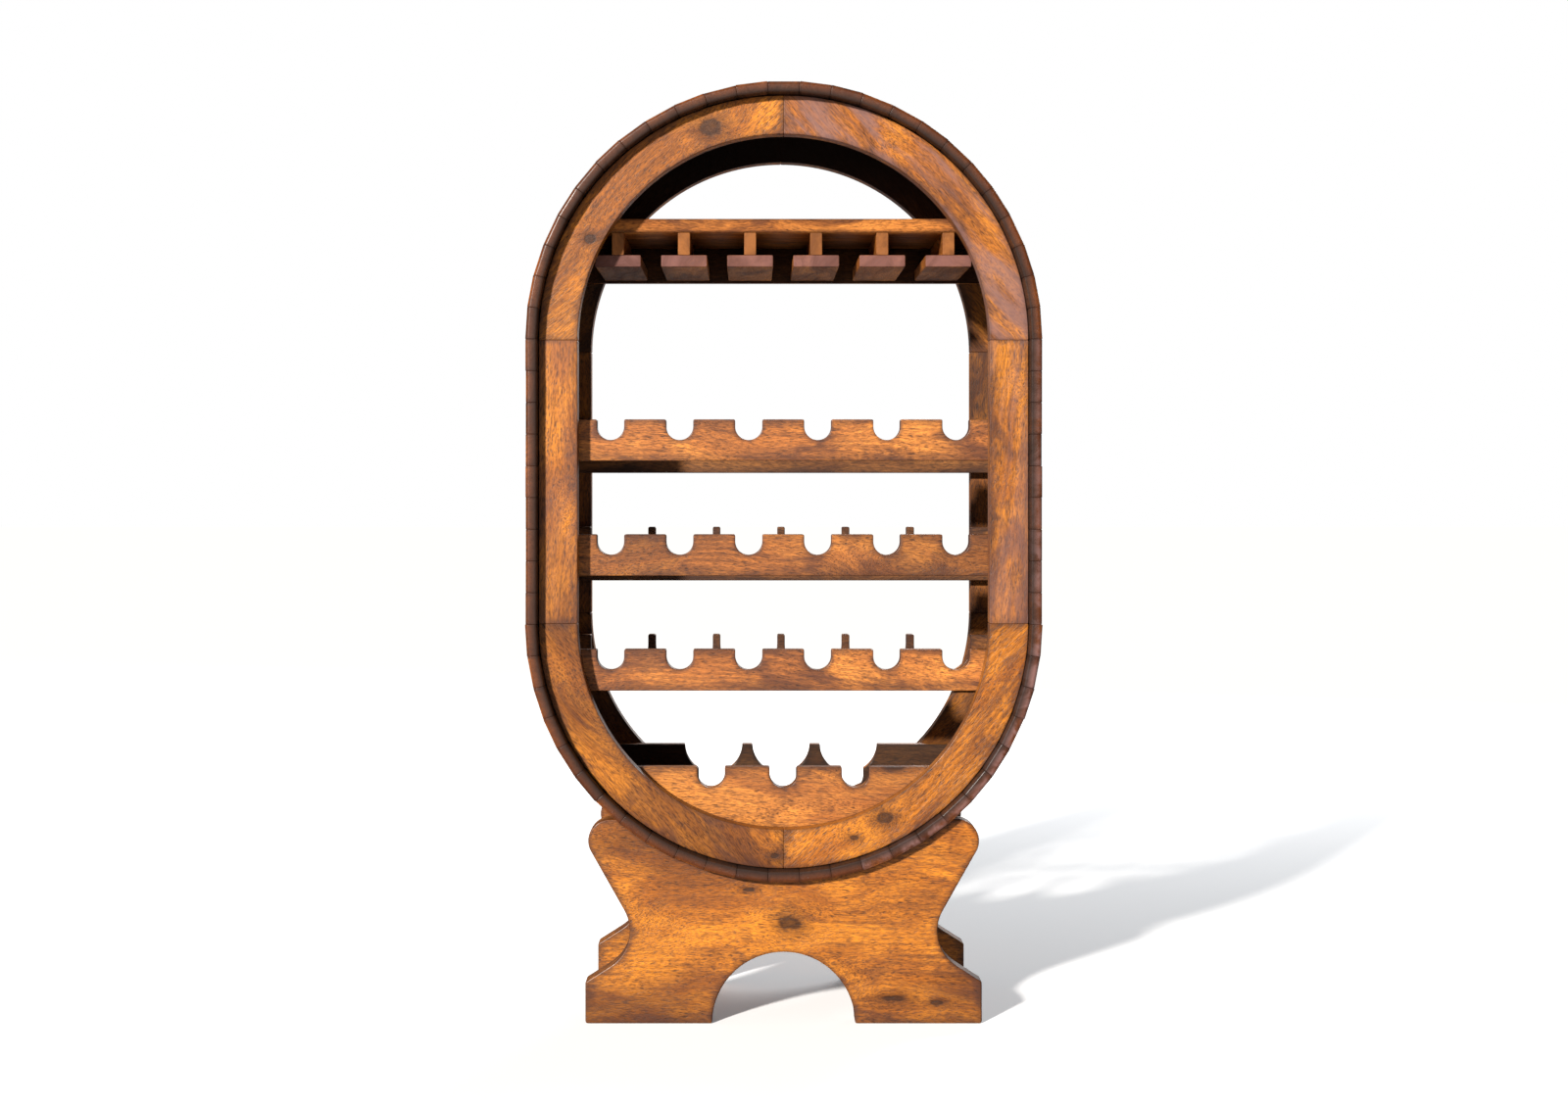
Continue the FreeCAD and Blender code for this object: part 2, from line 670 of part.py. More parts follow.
def build():
    to_rings = rail_screws()
    to_webs = glass_screws()
    to_base = base_dowels()
    to_barrel = barrel_screws()
    ring_dowels()
    inside = barrel_inside()
    face_ring("front", ring_front, to_rings)
    face_ring("rear", -ring_back, to_rings)
    staves(to_barrel)
    bottle_rails(inside, to_rings)
    bottom_boards(inside, to_rings)
    glass_rack(inside, to_webs)
    cradle_board("front_cradle_board", ring_front, to_base)
    cradle_board("rear_cradle_board", -cradle_back, to_base)
    stretchers(to_base, to_barrel)
    doc.recompute()


def check():
    """Stop before anything is written if an object failed or a shape is not sound."""
    for item in doc.Objects:
        if "Invalid" in item.State or "Error" in item.State:
            raise RuntimeError(f"{item.Label} failed to recompute")
    for item in nodes:
        if item.Shape.isNull() or not item.Shape.isValid():
            raise RuntimeError(f"{item.Label} has no sound shape")


def write():
    os.makedirs("parts", exist_ok=True)
    for item in nodes:
        item.Shape.exportStep(f"parts/{item.Label}.step")
        print(f"{item.Label}: {len(item.Shape.Solids)} solids, {item.Shape.Volume / 1000:.1f} cm3")


build()
check()
write()
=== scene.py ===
import math
import random

import bpy
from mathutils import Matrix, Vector
from mathutils.geometry import delaunay_2d_cdt


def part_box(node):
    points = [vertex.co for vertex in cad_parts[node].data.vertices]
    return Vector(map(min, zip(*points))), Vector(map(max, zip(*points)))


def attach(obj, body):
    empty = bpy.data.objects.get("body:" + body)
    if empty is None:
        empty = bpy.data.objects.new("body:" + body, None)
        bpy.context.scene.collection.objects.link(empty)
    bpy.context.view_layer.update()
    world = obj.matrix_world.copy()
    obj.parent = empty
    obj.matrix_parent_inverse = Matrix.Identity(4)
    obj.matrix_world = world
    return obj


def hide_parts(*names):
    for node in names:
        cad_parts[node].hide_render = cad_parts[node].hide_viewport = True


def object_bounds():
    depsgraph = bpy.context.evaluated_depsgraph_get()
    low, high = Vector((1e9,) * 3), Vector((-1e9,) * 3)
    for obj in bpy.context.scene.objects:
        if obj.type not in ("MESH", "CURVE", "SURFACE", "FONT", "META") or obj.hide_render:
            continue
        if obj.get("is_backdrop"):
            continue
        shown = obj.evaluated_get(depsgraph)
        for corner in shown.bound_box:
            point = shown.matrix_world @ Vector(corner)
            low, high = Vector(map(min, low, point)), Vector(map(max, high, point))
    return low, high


# Looks for the oval barrel wine rack: every board, ring segment and stave is built as its own
# eased solid with its own run of wood grain. Metres, front towards -Y, +Z up.

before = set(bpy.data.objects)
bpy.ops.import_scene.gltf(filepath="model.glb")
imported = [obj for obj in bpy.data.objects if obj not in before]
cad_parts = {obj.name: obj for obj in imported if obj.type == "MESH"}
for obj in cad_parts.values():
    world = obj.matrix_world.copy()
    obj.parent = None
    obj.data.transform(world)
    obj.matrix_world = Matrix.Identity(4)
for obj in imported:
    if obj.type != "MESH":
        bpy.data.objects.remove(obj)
cad_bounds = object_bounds()
draw = random.Random(7)

MM = 0.001

# ---------------------------------------------------------------- sizes from the frame

stile_low, stile_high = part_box("front_ring_left_stile")
side_low, side_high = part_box("left_staves_1")
LOWER = stile_low[2]
UPPER = stile_high[2]
BARREL = -side_low[0]
INSIDE = -side_high[0]
LIP = side_high[1]
RING_INNER = -stile_high[0]
CENTRES = {"top": UPPER, "bottom": LOWER}

# notches, as they are cut in the rails
BOTTLE_SPACING = 90.4 * MM
BOTTOM_SPACING = 94.5 * MM
NECK_RADIUS = 17.8 * MM
NECK_DEPTH = 27 * MM
BODY_RADIUS = 40 * MM
BODY_DEPTH = 54 * MM
THROAT_RADIUS = 21 * MM
THROAT_DEPTH = 66 * MM

# staves
STAVES_PER_ARC = 25
STAVES_PER_SIDE = 9
STAVES_PER_RUN = 5
SIDE_RUN = 3

# cradle outline
FOOT_HALF_WIDTH = 257 * MM
FOOT_HEIGHT = 54 * MM
WAIST = Vector((253, 120)) * MM
WAIST_RADIUS = 53.5 * MM
HORN = Vector((225.5, 236.8)) * MM
HORN_RADIUS = 28 * MM
ARCH_RADIUS = 92.7 * MM

# how far the edges are eased, on staves and rings, on rails, on boards that run from front to
# back, and on the cradle boards
BARREL_EASE = 0.9 * MM
RAIL_EASE = 1.2 * MM
DEEP_EASE = 1.0 * MM
CRADLE_EASE = 2.0 * MM

# meshes: the band beside an eased edge, the spacing of points over a face, the steps round an
# eased edge, and how much more than the edges the corners of an outline are rounded
EDGE_BAND = 5 * MM
FACE_SPACING = 14 * MM
ROUND_STEPS = 3
CORNER_SHARE = 1.8

# plum stain fades inwards from the edges of a face, and is weaker all over the narrow sides
STAIN_REACH = 11 * MM
SIDE_STAIN = 0.35

Y = Vector((0, 1, 0))


# ---------------------------------------------------------------- outlines


def arc(centre, radius, start, end, steps):
    """Points of an arc between two angles in degrees, both ends included."""
    turns = [math.radians(start + (end - start) * step / steps) for step in range(steps + 1)]
    return [Vector((centre[0] + radius * math.cos(turn), centre[1] + radius * math.sin(turn)))
            for turn in turns]


def without_repeats(points):
    """The outline with points that lie on each other merged."""
    return [point for number, point in enumerate(points)
            if (point - points[number - 1]).length > 0.02 * MM]


def rounded(points, radius, steps=3):
    """The closed outline with its sharp corners rounded a little."""
    result = []
    count = len(points)
    for number, corner in enumerate(points):
        before = points[number - 1] - corner
        after = points[(number + 1) % count] - corner
        bend = math.pi - before.angle(after)
        reach = radius * math.tan(bend / 2)
        room = 0.45 * min(before.length, after.length)
        if bend < math.radians(25) or room < 0.2 * MM:
            result.append(corner)
            continue
        reach = min(reach, room)
        start = corner + before.normalized() * reach
        end = corner + after.normalized() * reach
        for step in range(steps + 1):
            share = step / steps
            result.append((1 - share) ** 2 * start + 2 * share * (1 - share) * corner + share ** 2 * end)
    return result


def inset(points, distance):
    """The anticlockwise outline moved inwards, mitred at its corners."""
    result = []
    count = len(points)
    for number, point in enumerate(points):
        into = (point - points[number - 1]).normalized()
        out = (points[(number + 1) % count] - point).normalized()
        normal_in = Vector((-into.y, into.x))
        normal_out = Vector((-out.y, out.x))
        middle = (normal_in + normal_out).normalized()
        result.append(point + middle * distance / max(0.35, middle.dot(normal_in)))
    return result


def half_width(height):
    """Half the width inside the staves at a height."""
    drop = max(0, LOWER - height, height - UPPER)
    return math.sqrt(INSIDE ** 2 - drop ** 2)


def notch_outline(top, centre, radius, depth, throat=None):
    """Half of a round-bottomed notch, from its bottom to the board's top edge on the right.

    A throat, given as (radius, depth), is a narrower notch that goes on below the first.
    """
    middle = top - depth + radius
    if throat is None:
        return arc((centre, middle), radius, 270, 360, 14) + [Vector((centre + radius, top))]
    narrow, reach = throat
    start = math.degrees(math.acos(narrow / radius))
    points = arc((centre, top - reach + narrow), narrow, 270, 360, 12)
    return points + arc((centre, middle), radius, 360 - start, 360, 12) + [Vector((centre + radius, top))]


def board_outline(low, high, notches=()):
    """A board that runs from stave to stave, with notches given as (centre, radius, depth, throat)."""
    steps = 8
    heights = [low + (high - low) * step / steps for step in range(steps + 1)]
    points = [Vector((half_width(height), height)) for height in heights]
    for centre, radius, depth, throat in sorted(notches, reverse=True):
        right = notch_outline(high, centre, radius, depth, throat)
        left = [Vector((2 * centre - point.x, point.y)) for point in right]
        points += right[::-1] + left
    points += [Vector((-half_width(height), height)) for height in reversed(heights)]
    return without_repeats(points)


def rectangle(low, high):
    """A board seen from the front, from its box."""
    return [Vector((low[0], low[2])), Vector((high[0], low[2])),
            Vector((high[0], high[2])), Vector((low[0], high[2]))]


def crossing_tangent(centre_a, radius_a, centre_b, radius_b):
    """Where the line that passes between two circles touches each of them."""
    run = centre_b - centre_a
    normal = math.atan2(run.y, run.x) + math.acos((radius_a + radius_b) / run.length)
    across = Vector((math.cos(normal), math.sin(normal)))
    return centre_a + radius_a * across, centre_b - radius_b * across


def angle_of(centre, point):
    """The direction of a point from a centre, in degrees."""
    return math.degrees(math.atan2(point.y - centre[1], point.x - centre[0]))


def cradle_outline():
    """The base board: arch, feet, waist, horns and the concave top under the barrel."""
    foot = Vector((FOOT_HALF_WIDTH, FOOT_HEIGHT))
    horn_touch, waist_touch = crossing_tangent(HORN, HORN_RADIUS, WAIST, WAIST_RADIUS)
    _, slope_touch = crossing_tangent(foot, 0, WAIST, -WAIST_RADIUS)
    horn_top = HORN.y + HORN_RADIUS
    reach = math.sqrt(BARREL ** 2 - (LOWER - horn_top) ** 2)
    cradle_angle = angle_of((0, LOWER), Vector((reach, horn_top)))
    right = arc((0, 0), ARCH_RADIUS, 90, 0, 24)
    right += [Vector((FOOT_HALF_WIDTH, 0)), foot]
    right += arc(WAIST, WAIST_RADIUS, angle_of(WAIST, slope_touch) % 360,
                 angle_of(WAIST, waist_touch), 16)
    right += arc(HORN, HORN_RADIUS, angle_of(HORN, horn_touch), 90, 14)
    right += arc((0, LOWER), BARREL, cradle_angle, -90, 32)
    left = [Vector((-point.x, point.y)) for point in reversed(right)]
    return without_repeats(right + left[1:])


# ---------------------------------------------------------------- solids


def distance_to(outline, point):
    """How far a point is from the nearest side of the outline."""
    shortest = math.inf
    for start, end in zip(outline, outline[1:] + outline[:1]):
        side = end - start
        share = max(0, min(1, (point - start).dot(side) / side.length_squared))
        shortest = min(shortest, (start + side * share - point).length)
    return shortest


def is_inside(outline, point):
    """Whether a point is inside the outline, by the sides it crosses on its way out."""
    crossings = 0
    for start, end in zip(outline, outline[1:] + outline[:1]):
        if (start.y > point.y) != (end.y > point.y):
            x = start.x + (point.y - start.y) / (end.y - start.y) * (end.x - start.x)
            crossings += x > point.x
    return crossings % 2 == 1


def nearest(points, place):
    """The number of the point that is nearest to a place."""
    return min(range(len(points)), key=lambda number: (points[number] - place).length_squared)


def filled(outline):
    """Points inside the outline, how far in each is, and triangles that fill it."""
    xs = [point.x for point in outline]
    ys = [point.y for point in outline]
    inner = [point for point in inset(outline, EDGE_BAND)[::2]
             if is_inside(outline, point) and distance_to(outline, point) > 0.9 * EDGE_BAND]
    depths = [EDGE_BAND] * len(inner)
    columns = int((max(xs) - min(xs)) / FACE_SPACING)
    rows = int((max(ys) - min(ys)) / FACE_SPACING)
    for column in range(columns):
        for row in range(rows):
            point = Vector((min(xs) + (column + 0.5) * FACE_SPACING, min(ys) + (row + 0.5) * FACE_SPACING))
            if not is_inside(outline, point):
                continue
            depth = distance_to(outline, point)
            if depth > 1.6 * EDGE_BAND:
                inner.append(point)
                depths.append(depth)
    given = outline + inner
    points, _, faces, origins = delaunay_2d_cdt(given, [], [list(range(len(outline)))], 1, 1e-7)[:4]
    source = [found[0] if found else nearest(given, point) for found, point in zip(origins, points)]
    triangles = [[source[corner] for corner in face] for face in faces]
    triangles = [triangle for triangle in triangles if len(set(triangle)) == 3]
    return inner, depths, triangles


def unshaded(point, level):
    """No painted shade anywhere."""
    return 0.0


def painted_shade_at(dark_level, amount, top_amount=None):
    """Painted shade on the face at one level, as on the inside of the barrel, where the front ring and the
    staves keep the light off.

    With top_amount the painted shade changes up to the top of the rounded end.
    """
    def painted_shading(point, level):
        if abs(level - dark_level) > 3 * MM:
            return 0.0
        if top_amount is None:
            return amount
        return amount + (top_amount - amount) * max(0, min(1, (point.y - UPPER) / RING_INNER))
    return painted_shading


class Wood:
    """Gathers the points of one piece's separate solids, with the run of the grain in each."""

    def __init__(self):
        self.points = []
        self.faces = []
        self.grain = []
        self.along = []
        self.edge = []
        self.near = []
        self.tone = []
        self.painted_sheen = []
        self.painted_shade = []

    def solid(self, outline, start, end, ease, place, grain, along, painted_sheen=0.0, painted_shading=unshaded):
        """An outline carried from start to end with eased edges, put in the world by place().

        grain() gives a point's place in the plank it was cut from, along the grain first. The
        lacquer is greyed by a painted sky reflection, and the shading function gives how much
        painted shade darkens the wood at a point.
        """
        if signed_area(outline) < 0:
            outline = list(reversed(outline))
        shift = Vector((draw.uniform(0, 40), draw.uniform(-0.12, 0.12), draw.uniform(-0.12, 0.12)))
        tone = draw.random()

        def add(point, level, edge, near=1.0):
            self.points.append(place(point.x, point.y, level))
            self.grain.append(grain(point.x, point.y, level) + shift)
            self.along.append(along)
            self.edge.append(edge)
            self.near.append(near)
            self.tone.append(tone)
            self.painted_sheen.append(painted_sheen)
            self.painted_shade.append(painted_shading(point, level))

        band = min(EDGE_BAND, (end - start) / 3)
        turns = [math.pi / 2 * step / ROUND_STEPS for step in range(ROUND_STEPS + 1)]
        levels = [(ease * (1 - math.sin(turn)), ease * (1 - math.cos(turn)), 1) for turn in turns]
        levels.append((0, ease + band, 0))
        half = [(depth, start + rise, edge) for depth, rise, edge in levels]
        half += [(depth, end - rise, edge) for depth, rise, edge in reversed(levels)]
        first = len(self.points)
        count = len(outline)
        for depth, level, edge in half:
            for point in inset(outline, depth):
                add(point, level, edge, 1.0 if edge else SIDE_STAIN)
        for ring in range(len(half) - 1):
            low = first + ring * count
            for number in range(count):
                following = (number + 1) % count
                self.faces.append([low + number, low + count + number,
                                   low + count + following, low + following])
        inner, depths, triangles = filled(inset(outline, ease))
        for level, ring, flip in ((start, 0, False), (end, len(half) - 1, True)):
            extra = len(self.points) - count
            for point, depth in zip(inner, depths):
                add(point, level, 0, math.exp(-depth / STAIN_REACH))
            for triangle in triangles:
                corners = [first + ring * count + corner if corner < count else extra + corner
                           for corner in triangle]
                self.faces.append(corners[::-1] if flip else corners)

    def finish(self, name, material, *nodes):
        """Make the Blender object, ride it on the rack and let it stand for its CAD nodes."""
        mesh = bpy.data.meshes.new(name)
        mesh.from_pydata(self.points, [], self.faces)
        for attribute, kind, field, values in (
                ("grain", "FLOAT_VECTOR", "vector", [part for value in self.grain for part in value]),
                ("along", "FLOAT_VECTOR", "vector", [part for value in self.along for part in value]),
                ("edge", "FLOAT", "value", self.edge),
                ("near", "FLOAT", "value", self.near),
                ("tone", "FLOAT", "value", self.tone),
                ("painted_sheen", "FLOAT", "value", self.painted_sheen),
                ("painted_shade", "FLOAT", "value", self.painted_shade)):
            mesh.attributes.new(attribute, kind, "POINT").data.foreach_set(field, values)
        mesh.shade_smooth()
        mesh.set_sharp_from_angle(angle=math.radians(40))
        mesh.materials.append(material)
        piece = bpy.data.objects.new(name, mesh)
        bpy.context.collection.objects.link(piece)
        piece.modifiers.new("even_normals", "WEIGHTED_NORMAL").keep_sharp = True
        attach(piece, "root")
        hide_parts(*nodes)
        return piece


def signed_area(points):
    """The area inside an outline, negative when its points run clockwise."""
    return sum(before.x * after.y - after.x * before.y
               for before, after in zip(points, points[1:] + points[:1])) / 2


def upright(x, z, y):
    """Front-view outlines stand in the XZ plane and are carried along Y."""
    return Vector((x, y, z))


def grain_in_front_view(along):
    """Grain that runs in the front view, along a direction given as (x, z)."""
    def grain(x, z, y):
        return Vector((x * along[0] + z * along[1], z * along[0] - x * along[1], y))
    return grain


def grain_front_to_back(x, z, y):
    """Grain along Y, for the front-view outlines of deep boards."""
    return Vector((y, x, z))


def grain_in_stave(radius, depth, across):
    """Grain along a stave, whose outline is its (radius, depth) section."""
    return Vector((depth, across, radius))


def front_board(name, outline, low, high, ease, along, material, painted_sheen=0.0, painted_shading=unshaded):
    """A board shaped in the front view between two depths, its grain in that plane."""
    board = Wood()
    direction = Vector((along[0], 0, along[1]))
    board.solid(rounded(outline, CORNER_SHARE * ease), low, high, ease, upright,
                grain_in_front_view(along), direction, painted_sheen, painted_shading)
    return board.finish(name, material, name)


def deep_board(name, outline, low, high, ease, material):
    """A board whose grain runs from front to back."""
    board = Wood()
    board.solid(rounded(outline, CORNER_SHARE * ease), low, high, ease, upright, grain_front_to_back, Y)
    return board.finish(name, material, name)


# ---------------------------------------------------------------- materials


def linear(red, green, blue):
    """An sRGB colour, 0 to 255, as the shader needs it."""
    def channel(value):
        value /= 255
        return value / 12.92 if value <= 0.04045 else ((value + 0.055) / 1.055) ** 2.4
    return (channel(red), channel(green), channel(blue), 1)


PLUM = linear(66, 36, 26)
KNOT = linear(32, 15, 8)
# purple-grey of a painted sky reflection in the lacquer
PAINTED_SHEEN_GREY = linear(112, 82, 78)
PAINTED_SHADE_COLOUR = linear(22, 12, 7)
HONEY = linear(196, 119, 28)
AMBER = linear(150, 84, 18)
UMBER = linear(56, 25, 7)
# near-black colour of the painted shade inside the rack


class Nodes:
    """Short names for building a material's node tree."""

    def __init__(self, name):
        self.material = bpy.data.materials.new(name)
        self.material.use_nodes = True
        self.tree = self.material.node_tree
        self.shader = self.tree.nodes["Principled BSDF"]

    def add(self, kind, inputs=(), **settings):
        item = self.tree.nodes.new(kind)
        for key, value in settings.items():
            setattr(item, key, value)
        for key, value in dict(inputs).items():
            self.put(item.inputs[key], value)
        return item

    def put(self, socket, value):
        if isinstance(value, bpy.types.NodeSocket):
            self.tree.links.new(value, socket)
        else:
            socket.default_value = value

    def math(self, operation, first, second=0.0, clamp=False):
        return self.add("ShaderNodeMath", {0: first, 1: second}, operation=operation,
                        use_clamp=clamp).outputs[0]

    def attribute(self, name):
        return self.add("ShaderNodeAttribute", attribute_name=name)

    def stretched(self, vector, scale):
        return self.add("ShaderNodeVectorMath", {0: vector, 1: scale}, operation="MULTIPLY").outputs[0]

    def noise(self, vector, scale, detail=3.0, rough=0.55, distortion=0.0):
        item = self.add("ShaderNodeTexNoise", {"Vector": self.stretched(vector, scale), "Scale": 1.0,
                                               "Detail": detail, "Roughness": rough,
                                               "Distortion": distortion})
        return item.outputs["Fac"]

    def ramp(self, value, low, high):
        """0 below low, 1 above high, smooth between them."""
        return self.add("ShaderNodeMapRange", {"Value": value, "From Min": low, "From Max": high},
                        interpolation_type="SMOOTHSTEP").outputs["Result"]

    def mix(self, share, first, second, blend="MIX"):
        item = self.add("ShaderNodeMix", data_type="RGBA", blend_type=blend)
        self.put(item.inputs[0], share)
        self.put(item.inputs[6], first)
        self.put(item.inputs[7], second)
        return item.outputs[2]


def knot_field(n, place, x, z, radius, stretch):
    """How far a point is from a knot in a front board, in knot radii, and how far above it."""
    part = n.add("ShaderNodeSeparateXYZ", {0: place}).outputs
    run = n.math("DIVIDE", n.math("SUBTRACT", part["X"], x), stretch * radius)
    rise = n.math("DIVIDE", n.math("SUBTRACT", part["Z"], z), radius)
    depth = n.math("DIVIDE", n.math("ADD", part["Y"], LIP), 2 * LIP / 5)
    square = n.math("ADD", n.math("MULTIPLY", run, run), n.math("MULTIPLY", rise, rise))
    square = n.math("ADD", square, n.math("MULTIPLY", depth, depth))
    uneven = n.math("MULTIPLY", n.math("SUBTRACT", n.noise(place, (60.0, 60.0, 60.0), 2.0), 0.5), 1.2)
    return n.math("ADD", n.math("SQRT", square), uneven), n.math("MULTIPLY", rise, radius)


def bent_grain(n, grain, knots):
    """The place in the plank after the grain has wandered and swept around its knots.

    Also how dark the hearts of the knots are, and how shaded the wood around them is.
    """
    wander = n.noise(grain, (2.2, 8.0, 8.0), 2.0)
    ripple = n.noise(grain, (12.0, 60.0, 60.0), 2.0)
    bend = n.math("ADD", n.math("MULTIPLY", n.math("SUBTRACT", wander, 0.5), 0.09),
                  n.math("MULTIPLY", n.math("SUBTRACT", ripple, 0.5), 0.006))
    cells = n.add("ShaderNodeTexVoronoi", {"Vector": n.stretched(grain, (3.4, 8.0, 8.0)), "Scale": 1.0})
    swirl = n.ramp(cells.outputs["Distance"], 0.4, 0.0)
    bend = n.math("ADD", bend, n.math("MULTIPLY", swirl, 0.03))
    heart = n.ramp(cells.outputs["Distance"], 0.07, 0.03)
    shade = n.math("MULTIPLY", swirl, 0.3)
    if knots:
        place = n.add("ShaderNodeTexCoord").outputs["Object"]
    for x, z, radius, stretch in knots:
        distance, rise = knot_field(n, place, x, z, radius, stretch)
        pull = n.ramp(distance, 5.0, 0.6)
        bend = n.math("SUBTRACT", bend, n.math("MULTIPLY", n.math("MULTIPLY", pull, rise), 0.9))
        pith = n.math("MULTIPLY", n.ramp(distance, 0.75, 0.4), 0.15)
        heart = n.math("MAXIMUM", heart, n.math("SUBTRACT", n.ramp(distance, 1.2, 0.8), pith))
        shade = n.math("MAXIMUM", shade, n.math("MULTIPLY", n.ramp(distance, 3.2, 0.8), 0.6))
    slope = n.math("MULTIPLY", n.add("ShaderNodeSeparateXYZ", {0: grain}).outputs["X"], 0.05)
    across = n.add("ShaderNodeCombineXYZ", {"X": 0.0, "Y": n.math("ADD", bend, slope), "Z": bend})
    bent = n.add("ShaderNodeVectorMath", {0: grain, 1: across.outputs[0]}, operation="ADD").outputs[0]
    return bent, heart, shade


def board_colour(n, grain, bent, light, middle, dark):
    """Bare wood: clouds, drifts, growth rings, streaks and pores between three colours."""
    rings = n.add("ShaderNodeTexWave", {"Vector": bent, "Scale": 40.0, "Distortion": 1.6, "Detail": 3.0,
                                        "Detail Scale": 1.4},
                  wave_type="RINGS", rings_direction="X").outputs["Fac"]
    figure = n.ramp(n.noise(grain, (3.5, 12.0, 12.0), 2.0), 0.35, 0.7)
    drift = n.noise(grain, (2.6, 6.5, 6.5), 3.0, 0.5)
    streaks = n.noise(bent, (6.0, 160.0, 160.0), 4.0, 0.6)
    fine = n.noise(bent, (110.0, 700.0, 700.0), 3.0, 0.7)
    cloud = n.noise(bent, (6.0, 16.0, 16.0), 5.0, 0.62, 0.6)
    colour = n.mix(n.ramp(cloud, 0.36, 0.6), light, middle)
    colour = n.mix(n.math("MULTIPLY", n.ramp(drift, 0.46, 0.68), 0.6), colour, dark)
    colour = n.mix(n.math("MULTIPLY", n.math("MULTIPLY", rings, figure), 0.42), colour, dark)
    colour = n.mix(n.math("MULTIPLY", n.ramp(streaks, 0.46, 0.74), 0.42), colour, dark)
    colour = n.mix(n.math("MULTIPLY", n.ramp(fine, 0.42, 0.64), 0.6), colour, dark)
    return colour, streaks, fine, cloud


def wood(name, light, middle, dark, stain=0.5, end_colour=PLUM, gloss=0.34, specular=0.25, tone_range=0.25,
         knots=()):
    """Lacquered hardwood: soft growth rings, flecks, stains, knots and end grain.

    knots are given as (x, z, radius, stretch), for boards that face the front; the stretch is
    how much longer than high the knot is.
    """
    n = Nodes(name)
    grain = n.attribute("grain").outputs["Vector"]
    along = n.attribute("along").outputs["Vector"]
    edge, near, tone, painted_sheen, painted_shade = [n.attribute(kind).outputs["Fac"]
                                    for kind in ("edge", "near", "tone", "painted_sheen", "painted_shade")]

    bent, heart, shade = bent_grain(n, grain, knots)
    colour, streaks, fine, cloud = board_colour(n, grain, bent, light, middle, dark)
    flecks = n.ramp(n.noise(bent, (90.0, 900.0, 900.0), 1.0), 0.56, 0.68)

    # stains, the board's own tone and its knots
    stains = n.noise(bent, (9.0, 22.0, 22.0), 5.0, 0.66, 0.8)
    colour = n.mix(n.math("MULTIPLY", n.ramp(stains, 0.5, 0.66), stain), colour, PLUM)
    border = n.math("ADD", near, n.math("MULTIPLY", n.math("SUBTRACT", stains, 0.5), 2.6))
    colour = n.mix(n.math("MULTIPLY", n.ramp(border, 0.5, 1.2), 0.55), colour, PLUM)
    colour = n.mix(shade, colour, dark)
    colour = n.mix(n.math("MULTIPLY", heart, 0.75), colour, KNOT)
    colour = n.mix(n.math("MULTIPLY", flecks, 0.65), colour, KNOT)
    level = n.math("ADD", n.math("MULTIPLY", tone, tone_range), 1 - tone_range / 2)
    level = n.add("ShaderNodeCombineColor", {0: level, 1: level, 2: level}).outputs[0]
    colour = n.mix(1.0, colour, level, "MULTIPLY")

    # end grain, a painted sky reflection that greys the lacquer, painted shade on the inside, and darker edges
    normal = n.add("ShaderNodeNewGeometry").outputs["True Normal"]
    facing = n.add("ShaderNodeVectorMath", {0: normal, 1: along}, operation="DOT_PRODUCT").outputs["Value"]
    cut = n.ramp(n.math("ABSOLUTE", facing), 0.55, 0.95)
    ends = n.mix(n.ramp(stains, 0.35, 0.65), end_colour, n.mix(0.5, end_colour, dark))
    colour = n.mix(n.math("MULTIPLY", cut, 0.8), colour, ends)
    # painted reflection: the sky's purple-grey sheen in the lacquer, laid on as colour
    painted_sheen_share = n.math("MULTIPLY", n.ramp(n.noise(bent, (5.0, 40.0, 40.0), 5.0, 0.65), 0.38, 0.62), painted_sheen)
    colour = n.mix(painted_sheen_share, colour, PAINTED_SHEEN_GREY)
    # painted shade: the inside of the rack darkened towards near-black, where little light reaches
    colour = n.mix(painted_shade, colour, PAINTED_SHADE_COLOUR)
    # eased edges darkened: partly stain worked into them, partly painted shade for the seams between pieces
    colour = n.mix(n.math("MULTIPLY", n.math("POWER", edge, 2.0), 0.3), colour, KNOT)

    rough = n.math("ADD", n.math("MULTIPLY", n.ramp(streaks, 0.3, 0.8), 0.14), gloss)
    rough = n.math("ADD", rough, n.math("MULTIPLY", cloud, 0.14))
    rough = n.math("ADD", rough, n.math("MULTIPLY", painted_shade, 0.35), clamp=True)
    height = n.math("ADD", n.math("MULTIPLY", streaks, 0.6), n.math("MULTIPLY", fine, 0.5))
    height = n.math("SUBTRACT", height, n.math("MULTIPLY", flecks, 0.6))
    height = n.math("ADD", height, n.math("MULTIPLY", cloud, 1.2))
    height = n.math("SUBTRACT", height, n.math("MULTIPLY", heart, 0.6))
    bump = n.add("ShaderNodeBump", {"Height": height, "Strength": 0.4, "Distance": 0.6 * MM})
    n.put(n.shader.inputs["Base Color"], colour)
    n.put(n.shader.inputs["Roughness"], rough)
    n.put(n.shader.inputs["Normal"], bump.outputs[0])
    n.shader.inputs["Coat Weight"].default_value = specular / 2
    n.shader.inputs["Coat Roughness"].default_value = 0.2
    n.shader.inputs["Specular IOR Level"].default_value = specular
    return n.material


# knots as (x, z, radius, stretch)
CRADLE_KNOTS = ((8 * MM, 131 * MM, 10 * MM, 1.4), (142 * MM, 33 * MM, 5 * MM, 3.4),
                (198 * MM, 27 * MM, 3 * MM, 3.0), (-45 * MM, 174 * MM, 3 * MM, 2.6))
RING_KNOTS = ((-95 * MM, 1162 * MM, 11 * MM, 1.2), (-251 * MM, 1018 * MM, 6 * MM, 1.2),
              (131 * MM, 267 * MM, 7 * MM, 1.5), (-11 * MM, 218 * MM, 4 * MM, 1.5),
              (91 * MM, 241 * MM, 4 * MM, 1.5))

